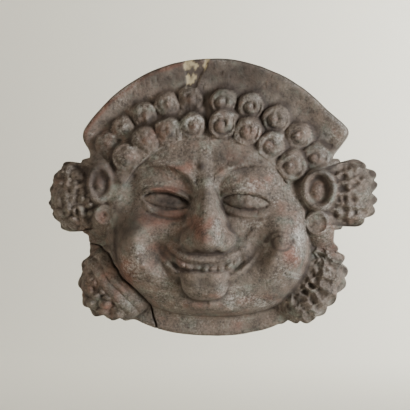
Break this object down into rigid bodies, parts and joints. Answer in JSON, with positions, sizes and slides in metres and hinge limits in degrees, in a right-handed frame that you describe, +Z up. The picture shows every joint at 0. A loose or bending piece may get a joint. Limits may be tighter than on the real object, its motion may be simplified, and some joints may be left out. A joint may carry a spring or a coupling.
{
  "type": "mask antefix",
  "caption": "Roof-edge antefix of fired clay: a grinning gorgon mask under an arched crest, with snail curls, ears and beaded tufts of hair; flat back with a hollow behind the face.",
  "frame": {"origin": "on the flat back, in the mask's plane of symmetry, behind the crest and above the hollow", "axes": "+Y out of the flat back, into what the antefix is fixed to; the mask faces -Y; +Z up to the top of the crest; +X to the viewer's right"},
  "size_m": [0.2329, 0.0761, 0.1949],
  "materials": {
    "fired_clay": "weathered unglazed terracotta"
  },
  "bodies": {
    "root": {"mask_antefix": "fired_clay"}
  },
  "joints": []
}
